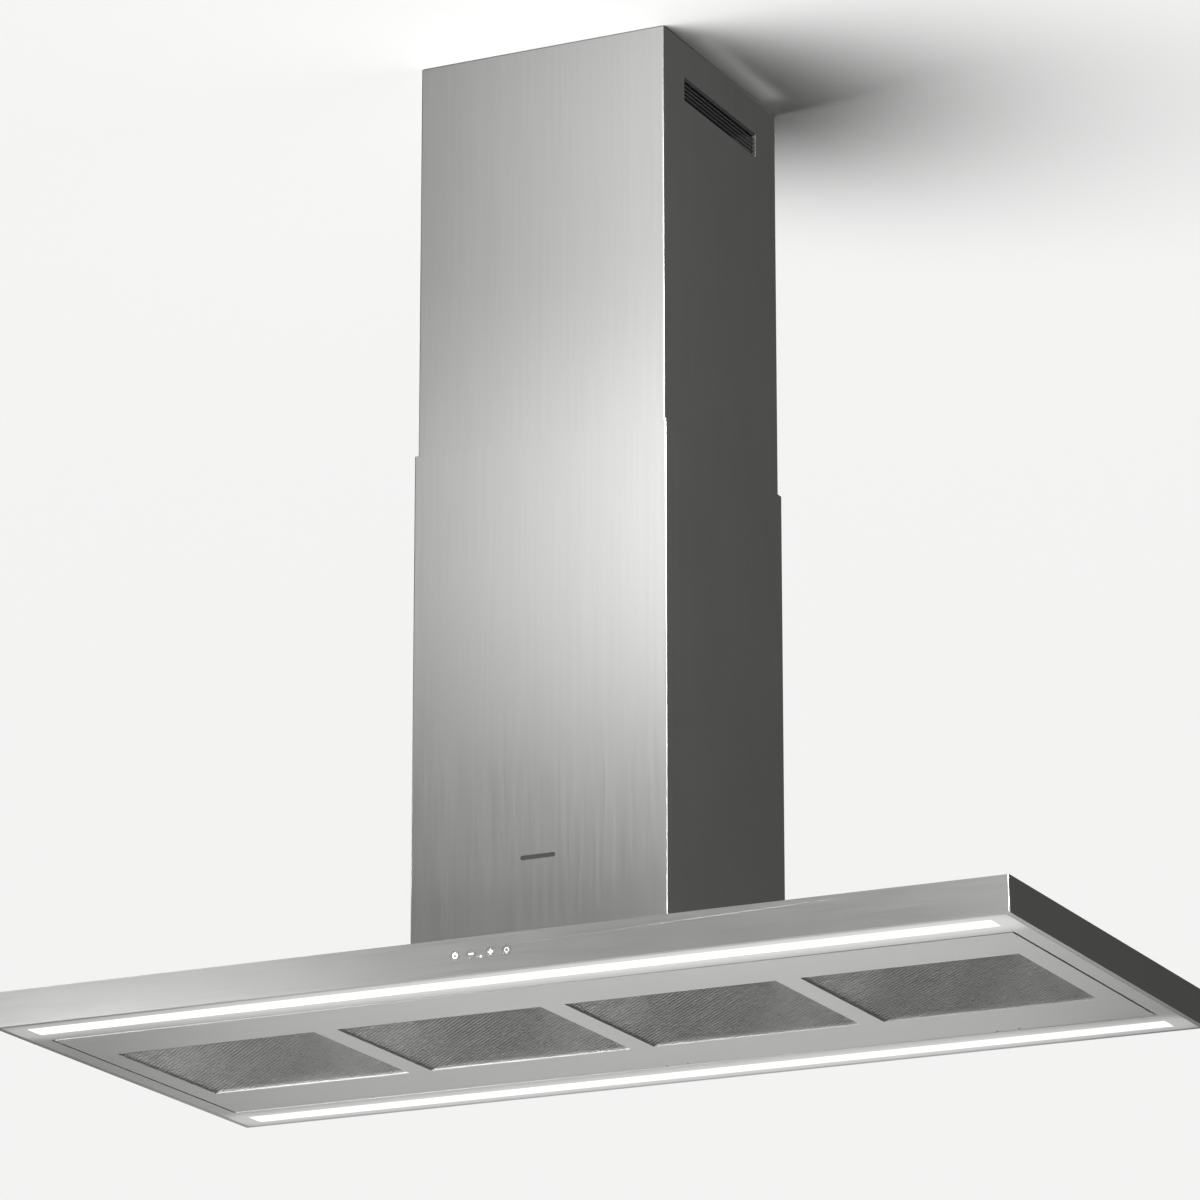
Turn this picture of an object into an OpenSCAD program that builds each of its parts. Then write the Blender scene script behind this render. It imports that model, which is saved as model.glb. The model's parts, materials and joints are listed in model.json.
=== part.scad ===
// Island range hood: a thin steel canopy hung under a telescopic square flue.
// The origin is the centre of the ceiling face. X runs along the canopy, the controls face -Y.

/* [Canopy] */
// Length of the canopy along X
canopy_w = 1200; // [1190:1:1260]
// Depth of the canopy along Y
canopy_d = 575; // [570:1:620]
// Height of the canopy
canopy_h = 40; // [40:1:55]
// Thickness of the canopy's steel sheet
sheet = 1.2; // [1:0.1:1.4]
// Width of the rim folded in under the canopy
rim = 6; // [5:0.5:8]

/* [Flue] */
// Distance from the ceiling to the canopy's underside
hood_drop = 1100; // [1070:1:1120]
// Outside width of the lower flue
lower_flue_w = 310; // [309:0.5:316]
// Outside width of the upper flue
upper_flue_w = 304; // [303.5:0.5:305]
// Length of the lower flue
lower_flue_h = 596; // [560:1:610]
// Length of the upper flue
upper_flue_h = 576; // [540:1:600]
// Thickness of the flue's steel sheet
flue_sheet = 1; // [0.8:0.1:1]
// Length of the air slot on each side of the upper flue
vent_w = 195; // [160:1:198]
// Height of the air slot
vent_h = 28; // [24:1:32]
// Distance from the ceiling to the air slot
vent_drop = 42; // [40:1:46]

/* [Filters] */
// Length of each filter window along X
window_w = 250; // [240:1:252]
// Depth of each filter window along Y
window_d = 228; // [200:1:240]
// Distance between the middles of two filter windows
window_pitch = 278; // [277:0.5:282]
// Distance from the panel's middle to the windows' middle along Y
window_y = -5; // [-10:1:10]

/* [Lights and controls] */
// Length of each light diffuser
light_w = 1140; // [1000:1:1150]
// Width of each light diffuser
light_d = 30; // [24:1:32]
// Distance from the canopy's long edge to the middle of the light
light_inset = 36.5; // [34:0.5:38]
// Radius of a push button
button_r = 5; // [4:0.1:5.5]
// Travel of a push button
button_travel = 1; // [0.5:0.1:1]

/* [Blower] */
// Radius of the impeller
impeller_r = 85; // [80:1:86]
// Length of the impeller along its axis
impeller_l = 144; // [120:1:146]
// Number of impeller blades
blade_count = 32; // [24:1:36]
// Outside radius of the air duct's collars
duct_r = 75; // [74:0.5:76]

/* [Hidden] */
$fn = 48;
fit = 0.05;          // radial clearance of a running fit
slack = 0.4;         // gap between two panels that lie side by side
cut = 1;             // how far a cutting solid runs past a face

canopy_z = -hood_drop;
canopy_top = canopy_z + canopy_h;
plenum_top = canopy_top - sheet;
front_y = -canopy_d / 2;

// Opening for the filter panel, and the panel in it
opening_w = canopy_w - 54;
opening_d = 420;
panel_w = opening_w - 6;
panel_d = opening_d - 8;
panel_flange_h = 8;
lip_h = 10;

// Grease filters
filter_h = 9;
filter_lap = 6;
filter_rail = 5;
filter_w = window_w + 2 * filter_lap;
filter_d = window_d + 2 * filter_lap;
seat_h = 6;
mesh_layers = 5;
mesh_layer_t = 0.5;

// Hinges of the filter panel
hinge_x = [-400, 0, 400];
hinge_y = panel_d / 2 - 4;
hinge_pin_r = 2;
knuckle_r = 3.2;
knuckle_l = 20;
hinge_z = canopy_z + sheet + knuckle_r;
ear_t = 2;
ear_x = knuckle_l / 2 + 2;
notch_half_w = ear_t / 2 + 0.4;
notch_reach = hinge_pin_r + 0.4;

// Magnetic catches
catch_x = 300;

// Lights
light_y = canopy_d / 2 - light_inset;
profile_h = 10;
profile_d = light_d + 8;
profile_w = light_w + 10;
board_t = 1.6;

// Controls: power, slower, faster, light
button_x = [-32, -13, 10, 29];
button_z = canopy_z + 21.5;
indicator_x = -1.5;
indicator_z = canopy_z + 17.5;
indicator_r = 1.5;
button_hole_r = button_r + 0.3;
button_flange_r = button_r + 1.2;
stem_r = 2;
control_half_w = 48;
control_z0 = canopy_z + 13;
control_z1 = canopy_z + 36;
fascia_in_y = front_y + sheet;
guide_y = fascia_in_y + 3.1;
housing_y = fascia_in_y + 4.8;
board_y = fascia_in_y + 10.3;
switch_h = 3.3;

// Telescopic frame: the lower frame slides inside the upper one
upper_frame = 148.5;
lower_frame = 146;
leg = 22;
leg_t = 2;
ceiling_t = 3;
ceiling_hole_r = 80;
cable_hole_r = 7;
ceiling_bolt_r = 4.25;
ceiling_bolt_x = 110;
flue_screw_x = 25;
flue_screw_z = -14;
flue_screw_r = 2;
upper_frame_z = -520;
lower_frame_z = -400;
brace_h = 20;
bolt_line = 134;
bolt_zs = [-492, -508];
bolt_r = 3;
slot_r = 3.4;
slide_up = 250;
slide_down = 80;
base_t = 3;
base_z = canopy_top + base_t;
base_screws = [[139.5, 90], [112, 133]];
screw_r = 2.5;
loom_hole = [-70, 140];

// Blower
casing_w = 264;
casing_d = 236;
casing_h = 290;
casing_t = 1;
casing_top = canopy_top + casing_h;
blower_x = 20;
blower_z = canopy_top + 132;
scroll_t = 2;
scroll_r0 = impeller_r + 7;
scroll_r1 = impeller_r + 39;
scroll_start = 80;
scroll_sweep = 260;
scroll_step = 10;
scroll_half = impeller_l / 2 + 8;
scroll_top = casing_top - casing_t - blower_z;
tongue_x = scroll_r0 * cos(scroll_start);
inlet_r = 72;
shaft_r = 4;
motor_r = 40;
motor_l = 70;
motor_y = 6;

// Duct: collar on the casing, valve, flexible duct, deflector
duct_x = -34;
duct_t = 2;
collar_top = casing_top + 60;
spindle_z = casing_top + 15;
spindle_r = 2;
flap_r = duct_r - 3.5;
flap_t = 1.5;
flap_edge = 4.8;
flap_knuckle_r = 3.6;
grille_x = upper_flue_w / 2 - flue_sheet;
deflector_top = -36;
deflector_z = -110;
deflector_d = 200;
spigot_l = 30;
flex_r = duct_r + 0.2;
flex_t = 0.8;
flex_cuff = 22;
flex_top = deflector_z - 8;
flex_z = collar_top - 25;
rib_count = 40;
rib_h = 4;

// Electronics
box_w = 200;
box_d = 30;
box_h = 137;
box_y = casing_d / 2;
box_wall = 2;
gland_x = 60;
gland_y = box_y + 15;
gland_bore_r = 4.25;
gland_z = base_z + box_h - 6;
gland_l = 26;

// ---------------------------------------------------------------- helpers

// A box given by its lowest and highest corners
module block(low, high) {
    translate(low) cube(high - low);
}

// A box centred on the Z axis, from z0 to z1
module slab(w, d, z0, z1) {
    block([-w / 2, -d / 2, z0], [w / 2, d / 2, z1]);
}

// A cylinder between two points that lie on one line along X, Y or Z, or askew
module rod(a, b, r) {
    v = b - a;
    turn = atan2(v[1], v[0]);
    tilt = atan2(norm([v[0], v[1]]), v[2]);
    translate(a) rotate([0, tilt, turn]) cylinder(h = norm(v), r = r);
}

// Copies a child into the four corners by mirroring
module four_corners() {
    for (flip_x = [0, 1]) {
        for (flip_y = [0, 1]) {
            mirror([flip_x, 0, 0]) mirror([0, flip_y, 0]) children();
        }
    }
}

module both_sides_x() {
    children();
    mirror([1, 0, 0]) children();
}

module both_sides_y() {
    children();
    mirror([0, 1, 0]) children();
}

module rounded_rect(w, d, r) {
    square([w - 2 * r, d], center = true);
    square([w, d - 2 * r], center = true);
    for (x = [-1, 1]) {
        for (y = [-1, 1]) {
            translate([x * (w / 2 - r), y * (d / 2 - r)]) circle(r);
        }
    }
}

// Square tube with small outside bend radii
module flue_tube(w, z0, z1) {
    bend = 1.6;
    translate([0, 0, z0]) linear_extrude(z1 - z0) difference() {
        rounded_rect(w, w, bend);
        rounded_rect(w - 2 * flue_sheet, w - 2 * flue_sheet, bend - flue_sheet);
    }
}

// Flat ring plate with a rectangular opening
module frame_plate(w, d, in_w, in_d, z0, z1) {
    difference() {
        slab(w, d, z0, z1);
        slab(in_w, in_d, z0 - cut, z1 + cut);
    }
}

// Steel angle in the +X +Y corner of a square of half width s
module corner_angle(s, z0, z1) {
    block([s - leg, s - leg_t, z0], [s, s, z1]);
    block([s - leg_t, s - leg, z0], [s, s, z1]);
}

// Flat straps between the four angles
module strap_ring(s, z0, z1) {
    span = s - leg;
    both_sides_x() block([s - leg_t, -span, z0], [s, span, z1]);
    both_sides_y() block([-span, s - leg_t, z0], [span, s, z1]);
}

// Tube around the Z axis through x
module collar(x, r_in, r_out, z0, z1) {
    translate([x, 0, z0]) difference() {
        cylinder(h = z1 - z0, r = r_out);
        translate([0, 0, -cut]) cylinder(h = z1 - z0 + 2 * cut, r = r_in);
    }
}

// A run of cable through a list of points
module cable(points, r) {
    for (i = [0 : len(points) - 2]) {
        rod(points[i], points[i + 1], r);
    }
    for (i = [1 : 1 : len(points) - 2]) {
        translate(points[i]) sphere(r);
    }
}

// ---------------------------------------------------------------- ceiling section

module ceiling_plate() {
    tab_out = upper_flue_w / 2 - flue_sheet - 0.1;
    color("lightsteelblue") difference() {
        union() {
            slab(2 * upper_frame, 2 * upper_frame, -ceiling_t, 0);
            both_sides_y() {
                block([-40, upper_frame - cut, -ceiling_t], [40, tab_out, 0]);
                block([-40, tab_out - 1.5, -25], [40, tab_out, 0]);
            }
        }
        translate([0, 0, -ceiling_t - cut]) cylinder(h = ceiling_t + 2 * cut, r = ceiling_hole_r);
        four_corners() translate([ceiling_bolt_x, ceiling_bolt_x, -ceiling_t - cut])
            cylinder(h = ceiling_t + 2 * cut, r = ceiling_bolt_r);
        translate([gland_x, gland_y, -ceiling_t - cut]) cylinder(h = ceiling_t + 2 * cut, r = cable_hole_r);
        for (x = [-flue_screw_x, flue_screw_x])
            rod([x, tab_out - 4, flue_screw_z], [x, tab_out + cut, flue_screw_z], flue_screw_r);
    }
}

module upper_frame_uprights() {
    color("silver") four_corners() difference() {
        corner_angle(upper_frame, upper_frame_z, -ceiling_t);
        rod([upper_frame - 4, bolt_line, bolt_zs[0]], [upper_frame + cut, bolt_line, bolt_zs[0]], bolt_r);
        rod([bolt_line, upper_frame - 4, bolt_zs[1]], [bolt_line, upper_frame + cut, bolt_zs[1]], bolt_r);
    }
}

module upper_frame_braces() {
    middle = upper_frame_z / 2;
    color("silver") {
        strap_ring(upper_frame, upper_frame_z, upper_frame_z + brace_h);
        strap_ring(upper_frame, middle, middle + brace_h);
    }
}

// One bolt along +X with its nut inside the lower frame
module clamp_bolt(z) {
    nut_out = lower_frame - leg_t - 0.3;
    rod([nut_out - 6, bolt_line, z], [upper_frame, bolt_line, z], bolt_r);
    rod([upper_frame, bolt_line, z], [upper_frame + 2, bolt_line, z], 5.5);
    difference() {
        translate([nut_out - 5, bolt_line, z]) rotate([0, 90, 0]) cylinder(h = 5, r = 5, $fn = 6);
        rod([nut_out - 6, bolt_line, z], [nut_out + cut, bolt_line, z], bolt_r - 0.2);
    }
}

module frame_clamp_bolts() {
    color("dimgray") four_corners() {
        clamp_bolt(bolt_zs[0]);
        mirror([1, -1, 0]) clamp_bolt(bolt_zs[1]);
    }
}

module upper_flue() {
    half = upper_flue_w / 2;
    color("gainsboro") difference() {
        flue_tube(upper_flue_w, -upper_flue_h, 0);
        block([-half - cut, -vent_w / 2, -vent_drop - vent_h], [half + cut, vent_w / 2, -vent_drop]);
        for (x = [-flue_screw_x, flue_screw_x])
            rod([x, half - 3, flue_screw_z], [x, half + cut, flue_screw_z], flue_screw_r);
    }
}

// Two screws with cross slots in their flat heads
module upper_flue_screws() {
    face = upper_flue_w / 2;
    head_h = 1.4;
    color("gray") for (x = [-flue_screw_x, flue_screw_x]) translate([x, face, flue_screw_z]) {
        rod([0, -8, 0], [0, 0, 0], flue_screw_r);
        difference() {
            rod([0, 0, 0], [0, head_h, 0], 2 * flue_screw_r);
            block([-2.5, head_h - 0.8, -0.5], [2.5, head_h + cut, 0.5]);
            block([-0.5, head_h - 0.8, -2.5], [0.5, head_h + cut, 2.5]);
        }
    }
}

module air_deflector() {
    half_x = grille_x - 2.8;
    half_y = deflector_d / 2;
    wall = 2;
    color("dimgray") {
        difference() {
            block([-half_x, -half_y, deflector_z], [half_x, half_y, deflector_top]);
            block([-half_x - cut, wall - half_y, deflector_z + wall],
                  [half_x + cut, half_y - wall, deflector_top - wall]);
            translate([duct_x, 0, deflector_z - cut]) cylinder(h = wall + 2 * cut, r = duct_r - duct_t);
        }
        collar(duct_x, duct_r - duct_t, duct_r, deflector_z - spigot_l, deflector_z);
        four_corners() block([85, 75, deflector_top], [95, 85, -ceiling_t]);
    }
}

// Grille behind the air slot on the +X side
module vent_grille() {
    depth = 2.8;
    low = -vent_drop - vent_h - 6;
    high = -vent_drop + 6;
    window = vent_w / 2 - 2.5;
    slat_count = 4;
    slat_pitch = (vent_h - 4) / (slat_count + 1);
    color("#151515") {
        difference() {
            block([grille_x - depth, -vent_w / 2 - 6, low], [grille_x, vent_w / 2 + 6, high]);
            block([grille_x - depth - cut, -window, low + 8], [grille_x + cut, window, high - 8]);
        }
        for (i = [1 : slat_count]) {
            z = low + 8 + i * slat_pitch;
            block([grille_x - depth, -window, z - 0.7], [grille_x - 0.4, window, z + 0.7]);
        }
    }
}

module vent_grille_right() {
    vent_grille();
}

module vent_grille_left() {
    mirror([1, 0, 0]) vent_grille();
}

// Thin corrugated tube with a plain cuff at each end
function rib_wave(r0) = [
    for (i = [0 : 2 * rib_count])
        [r0 + (i % 2) * rib_h, flex_z + flex_cuff + i * (flex_top - flex_z - 2 * flex_cuff) / (2 * rib_count)]
];

module flexible_duct() {
    inside = concat([[flex_r, flex_z]], rib_wave(flex_r), [[flex_r, flex_top]]);
    outside = [for (p = inside) [p[0] + flex_t, p[1]]];
    back = [for (i = [len(outside) - 1 : -1 : 0]) outside[i]];
    color("lightgray") translate([duct_x, 0, 0]) rotate_extrude() polygon(concat(inside, back));
}

// Band clamp around a duct cuff, with its screw block
module duct_clamp(z) {
    r = flex_r + flex_t;
    color("silver") {
        collar(duct_x, r, r + 1, z, z + 9);
        difference() {
            translate([duct_x, -r - 8, z]) block([-6, 0, 0], [6, 8, 9]);
            translate([duct_x, 0, z - cut]) cylinder(h = 9 + 2 * cut, r = r);
        }
    }
}

module upper_duct_clamp() {
    duct_clamp(flex_top - 14);
}

// ---------------------------------------------------------------- lower frame

module lower_frame_uprights() {
    slot_top = max(bolt_zs) + slide_down + 5;
    slot_z = min(bolt_zs) - slide_up - 5;
    color("silver") four_corners() difference() {
        corner_angle(lower_frame, base_z, lower_frame_z);
        block([lower_frame - 4, bolt_line - slot_r, slot_z],
              [lower_frame + cut, bolt_line + slot_r, slot_top]);
        block([bolt_line - slot_r, lower_frame - 4, slot_z],
              [bolt_line + slot_r, lower_frame + cut, slot_top]);
    }
}

module lower_frame_braces() {
    color("silver") {
        strap_ring(lower_frame, lower_frame_z - brace_h - 4, lower_frame_z - 4);
        difference() {
            frame_plate(2 * lower_frame, 2 * lower_frame, casing_w + 1, casing_d + 1, canopy_top, base_z);
            four_corners() for (p = base_screws) {
                translate([p[0], p[1], canopy_top - cut]) cylinder(h = base_t + 2 * cut, r = screw_r);
            }
            translate([loom_hole[0], loom_hole[1], canopy_top - cut]) cylinder(h = base_t + 2 * cut, r = 4);
        }
    }
}

module canopy_screws() {
    color("dimgray") four_corners() for (p = base_screws) {
        translate([p[0], p[1], plenum_top - 4]) cylinder(h = base_z - plenum_top + 4, r = screw_r);
        translate([p[0], p[1], base_z]) cylinder(h = 3.5, r = 4.5, $fn = 6);
    }
}

module flue_brackets() {
    out = lower_flue_w / 2 - flue_sheet - 0.6;
    color("silver") four_corners() {
        block([out - 1.5, 30, canopy_top], [out, 50, canopy_top + 25]);
        block([lower_frame + 1, 30, canopy_top], [out, 50, canopy_top + 1.5]);
    }
}

// ---------------------------------------------------------------- blower

module blower_casing() {
    left = blower_x - scroll_r1;
    color("lightsteelblue") difference() {
        slab(casing_w, casing_d, canopy_top, casing_top);
        slab(casing_w - 2 * casing_t, casing_d - 2 * casing_t, canopy_top - cut, casing_top - casing_t);
        block([left, -scroll_half, casing_top - 2], [blower_x + tongue_x, scroll_half, casing_top + cut]);
        rod([40, box_y - 3, blower_z], [40, box_y + cut, blower_z], 4);
    }
}

// Points of the scroll's outline in XZ, wall thickness added outwards
function scroll_outline(extra) = concat(
    [for (a = [0 : scroll_step : scroll_sweep])
        let (r = scroll_r0 + (scroll_r1 - scroll_r0) * a / scroll_sweep + extra)
        [r * cos(scroll_start - a), r * sin(scroll_start - a)]],
    [[-scroll_r1 - extra, scroll_top], [tongue_x + extra, scroll_top]]
);

// Half of the scroll on the -Y side, in blower coordinates
module scroll_half_shell() {
    depth = scroll_half + scroll_t;
    rotate([90, 0, 0]) {
        linear_extrude(depth) difference() {
            polygon(scroll_outline(scroll_t));
            polygon(scroll_outline(0));
        }
        translate([0, 0, scroll_half]) linear_extrude(scroll_t) difference() {
            polygon(scroll_outline(scroll_t));
            circle(inlet_r);
        }
        translate([0, 0, scroll_half - 4]) linear_extrude(4) difference() {
            circle(inlet_r + 3);
            circle(inlet_r);
        }
    }
}

module scroll_front() {
    color("#3a3d40") translate([blower_x, 0, blower_z]) scroll_half_shell();
}

module scroll_back() {
    color("#3a3d40") translate([blower_x, 0, blower_z]) mirror([0, 1, 0]) scroll_half_shell();
}

// Forward curved blades between two end rings, on a middle disc with a hub
module impeller() {
    blade_in = impeller_r - 16;
    half = impeller_l / 2;
    color("#202224") translate([blower_x, 0, blower_z]) rotate([-90, 0, 0]) {
        for (i = [0 : blade_count - 1]) {
            rotate(i * 360 / blade_count) translate([blade_in, 0, -half + 1]) rotate(24)
                block([0, -0.7, 0], [15.5, 0.7, impeller_l - 2]);
        }
        for (z = [-half, half - 3]) {
            translate([0, 0, z]) difference() {
                cylinder(h = 3, r = impeller_r);
                translate([0, 0, -cut]) cylinder(h = 3 + 2 * cut, r = impeller_r - 6);
            }
        }
        difference() {
            union() {
                translate([0, 0, -2]) cylinder(h = 2, r = blade_in + 4);
                translate([0, 0, -22]) cylinder(h = 24, r = 14);
            }
            translate([0, 0, -30]) cylinder(h = 40, r = shaft_r);
        }
    }
}

module motor_shaft() {
    color("silver") translate([blower_x, 0, blower_z])
        rod([0, -26, 0], [0, motor_y + motor_l - 8, 0], shaft_r);
}

module motor() {
    color("#6c7074") translate([blower_x, motor_y, blower_z]) rotate([-90, 0, 0]) difference() {
        union() {
            translate([0, 0, 2]) cylinder(h = motor_l - 4, r = motor_r - 2);
            for (i = [0 : 4]) translate([0, 0, 8 + 11 * i]) cylinder(h = 6, r = motor_r);
            cylinder(h = motor_l, r = 14);
        }
        translate([0, 0, -cut]) cylinder(h = motor_l - 6, r = shaft_r + fit);
    }
}

module motor_bracket() {
    back = motor_y + motor_l;
    face = scroll_half + scroll_t;
    color("lightsteelblue") translate([blower_x, 0, blower_z]) {
        rod([0, back, 0], [0, face + 3, 0], 24);
        for (a = [90, 210, 330]) {
            rotate([0, a, 0]) block([0, face, -8], [inlet_r + 9, face + 3, 8]);
        }
    }
}

// ---------------------------------------------------------------- outlet and valve

module outlet_collar() {
    color("#2b2d2f") difference() {
        union() {
            translate([duct_x, 0, 0]) slab(170, 176, casing_top, casing_top + 2.5);
            translate([duct_x, 0, casing_top]) cylinder(h = collar_top - casing_top, r = duct_r);
        }
        translate([duct_x, 0, casing_top - cut])
            cylinder(h = collar_top - casing_top + 2 * cut, r = duct_r - duct_t);
        rod([duct_x, -duct_r - cut, spindle_z], [duct_x, duct_r + cut, spindle_z], spindle_r);
    }
}

module valve_spindle() {
    color("silver") rod([duct_x, -duct_r, spindle_z], [duct_x, duct_r, spindle_z], spindle_r);
}

// Half disc on the +X side of the spindle, with two knuckles
module valve_flap(knuckles) {
    color("#8a8f94") translate([duct_x, 0, spindle_z]) {
        intersection() {
            translate([0, 0, -flap_t / 2]) cylinder(h = flap_t, r = flap_r);
            block([flap_edge, -flap_r, -flap_t], [flap_r, flap_r, flap_t]);
        }
        for (y = knuckles) {
            difference() {
                union() {
                    rod([0, y - 8, 0], [0, y + 8, 0], flap_knuckle_r);
                    block([2.6, y - 8, -flap_t / 2], [flap_edge + 1, y + 8, flap_t / 2]);
                }
                rod([0, y - 9, 0], [0, y + 9, 0], spindle_r + fit);
            }
        }
    }
}

module valve_flap_right() {
    valve_flap([-54, 22]);
}

module valve_flap_left() {
    translate([duct_x, 0, 0]) mirror([1, 0, 0]) translate([-duct_x, 0, 0]) valve_flap([-22, 54]);
}

module lower_duct_clamp() {
    duct_clamp(flex_z + 5);
}

// ---------------------------------------------------------------- electronics

// Round can with a cap and two terminals
module run_capacitor() {
    can_h = 58;
    can_r = 12;
    cap_h = 3;
    color("whitesmoke") translate([60, -132, base_z]) {
        cylinder(h = can_h, r = can_r);
        translate([0, 0, can_h]) cylinder(h = cap_h, r = can_r - 3);
        for (x = [-4, 4]) translate([x, 0, can_h + cap_h]) block([-0.4, -3, 0], [0.4, 3, 8]);
    }
}

module electronics_box() {
    half = box_w / 2;
    color("gainsboro") difference() {
        block([-half, box_y, base_z], [half, box_y + box_d, base_z + box_h]);
        block([-half + box_wall, box_y + box_wall, base_z + box_wall],
              [half - box_wall, box_y + box_d + cut, base_z + box_h - box_wall]);
        translate([gland_x, gland_y, base_z + box_h - 5]) cylinder(h = 8, r = 8);
        translate([loom_hole[0], loom_hole[1], base_z - cut]) cylinder(h = 5, r = 4);
        rod([40, box_y - cut, blower_z], [40, box_y + 4, blower_z], 4);
    }
}

module electronics_lid() {
    half = box_w / 2;
    y = box_y + box_d;
    color("gainsboro") {
        block([-half, y, base_z], [half, y + 2, base_z + box_h]);
        for (x = [-half + 8, half - 8]) {
            for (z = [base_z + 10, base_z + box_h - 10]) rod([x, y + 2, z], [x, y + 3.4, z], 3.5);
        }
    }
}

module power_board() {
    y = box_y + box_wall + 2;
    color("#1f6b3a") block([-88, y, base_z + 22], [88, y + board_t, base_z + box_h - 24]);
    color("#222222") {
        block([-80, y + board_t, base_z + 60], [-48, y + 20, base_z + 96]);
        for (x = [-30, -8, 14]) block([x, y + board_t, base_z + 66], [x + 16, y + 17, base_z + 86]);
        block([30, y + board_t, base_z + 96], [84, y + 12, base_z + 108]);
    }
}

module cable_gland() {
    wall_top = base_z + box_h;
    color("#303030") translate([gland_x, gland_y, 0]) difference() {
        union() {
            translate([0, 0, gland_z]) cylinder(h = gland_l, r = 8);
            translate([0, 0, wall_top]) cylinder(h = 5, r = 11, $fn = 6);
            translate([0, 0, wall_top + 7]) cylinder(h = 9, r = 10.5, $fn = 6);
            translate([0, 0, gland_z]) cylinder(h = 4, r = 10.5, $fn = 6);
        }
        translate([0, 0, gland_z - cut]) cylinder(h = gland_l + 2 * cut, r = gland_bore_r);
    }
}

module wiring_loom() {
    run_z = plenum_top - 3.2;
    r = 1.8;
    back_y = light_y - 25;
    branch_y = 16 - light_y;
    color("#d8d8d4") {
        cable([[loom_hole[0], loom_hole[1], base_z + 12], [loom_hole[0], loom_hole[1], run_z],
               [loom_hole[0], branch_y, run_z], [-40, board_y + 6, run_z],
               [-40, board_y + 6, control_z1 - 6], [-40, board_y + board_t, control_z1 - 6]], r);
        cable([[loom_hole[0], branch_y, run_z], [-300, branch_y, run_z]], r);
        cable([[-430, -light_y, canopy_z + sheet + profile_h], [-430, -light_y, run_z],
               [-430, back_y, run_z], [-430, light_y, run_z],
               [-430, light_y, canopy_z + sheet + profile_h]], r);
        rod([40, box_y + 6, blower_z], [40, scroll_half + scroll_t + 3, blower_z], 2.5);
    }
}

// ---------------------------------------------------------------- canopy

module canopy_shell() {
    bend = 1.6;
    color("gainsboro") difference() {
        translate([0, 0, canopy_z]) linear_extrude(canopy_h) rounded_rect(canopy_w, canopy_d, bend);
        slab(canopy_w - 2 * sheet, canopy_d - 2 * sheet, canopy_z + sheet, plenum_top);
        slab(canopy_w - 2 * rim, canopy_d - 2 * rim, canopy_z - cut, canopy_z + sheet + cut);
        slab(casing_w - 28, casing_d - 28, plenum_top - cut, canopy_top + cut);
        four_corners() for (p = base_screws) {
            translate([p[0], p[1], plenum_top - cut]) cylinder(h = sheet + 2 * cut, r = screw_r);
        }
        translate([loom_hole[0], loom_hole[1], plenum_top - cut]) cylinder(h = sheet + 2 * cut, r = 4);
        for (x = button_x) rod([x, front_y - cut, button_z], [x, front_y + 3, button_z], button_hole_r);
        rod([indicator_x, front_y - cut, indicator_z], [indicator_x, front_y + 3, indicator_z], indicator_r);
    }
}

// Flat border under the canopy: it laps over the rim and holds the two lights
module underside_frame() {
    w = canopy_w - 2 * (rim + slack);
    d = canopy_d - 2 * (rim + slack);
    lap_w = canopy_w - 2 * (sheet + slack);
    lap_d = canopy_d - 2 * (sheet + slack);
    color("lightgray") difference() {
        union() {
            frame_plate(w, d, opening_w, opening_d, canopy_z, canopy_z + sheet);
            frame_plate(lap_w, lap_d, w - 16, d - 16, canopy_z + sheet, canopy_z + 2 * sheet);
            frame_plate(opening_w + 2 * sheet, opening_d + 2 * sheet, opening_w, opening_d,
                        canopy_z, canopy_z + lip_h);
        }
        both_sides_y() block([-light_w / 2, light_y - light_d / 2, canopy_z - cut],
                             [light_w / 2, light_y + light_d / 2, canopy_z + sheet + cut]);
    }
}

// Channel over each light slot
module light_profiles() {
    base = canopy_z + sheet;
    wall = 1.2;
    color("lightgray") both_sides_y() translate([0, light_y, 0]) difference() {
        slab(profile_w, profile_d, base, base + profile_h);
        slab(profile_w - 2 * wall, profile_d - 2 * wall, base - cut, base + profile_h - wall);
    }
}

module light_boards() {
    roof = canopy_z + sheet + profile_h - 1.2;
    chip_pitch = 30;
    chip_count = floor((light_w - 30) / chip_pitch / 2);
    color("whitesmoke") both_sides_y() translate([0, light_y, 0]) {
        slab(light_w - 10, 14, roof - board_t, roof);
        for (i = [-chip_count : chip_count]) {
            translate([i * chip_pitch, 0, 0]) slab(5, 5, roof - board_t - 1, roof - board_t);
        }
    }
}

// Opal strip: the lower step fills the slot, the upper step rests on the frame
module light_diffuser() {
    gap = 0.2;
    color("white") translate([0, light_y, 0]) {
        slab(light_w - 2 * gap, light_d - 2 * gap, canopy_z, canopy_z + sheet);
        slab(light_w + 4, light_d + 4, canopy_z + sheet, canopy_z + sheet + 2);
    }
}

module light_diffuser_back() {
    light_diffuser();
}

module light_diffuser_front() {
    mirror([0, 1, 0]) light_diffuser();
}

module light_driver() {
    y = -light_y + 4;
    color("whitesmoke") {
        block([-420, y - 15, plenum_top - 20], [-300, y + 15, plenum_top]);
        for (x = [-426, -300]) block([x, y - 10, plenum_top - 2], [x + 6, y + 10, plenum_top]);
    }
}

// ---------------------------------------------------------------- controls

module control_housing() {
    end = control_half_w + 2;
    color("#26282a") {
        difference() {
            block([-control_half_w, fascia_in_y, control_z0], [control_half_w, housing_y, control_z1]);
            for (x = button_x) {
                rod([x, fascia_in_y - cut, button_z], [x, guide_y, button_z], button_flange_r + 0.4);
                rod([x, fascia_in_y, button_z], [x, housing_y + cut, button_z], stem_r + 0.3);
            }
            rod([indicator_x, fascia_in_y - cut, indicator_z], [indicator_x, housing_y + cut, indicator_z],
                indicator_r);
        }
        both_sides_x() block([control_half_w, fascia_in_y, control_z0], [end, board_y + board_t, control_z1]);
    }
}

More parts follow.
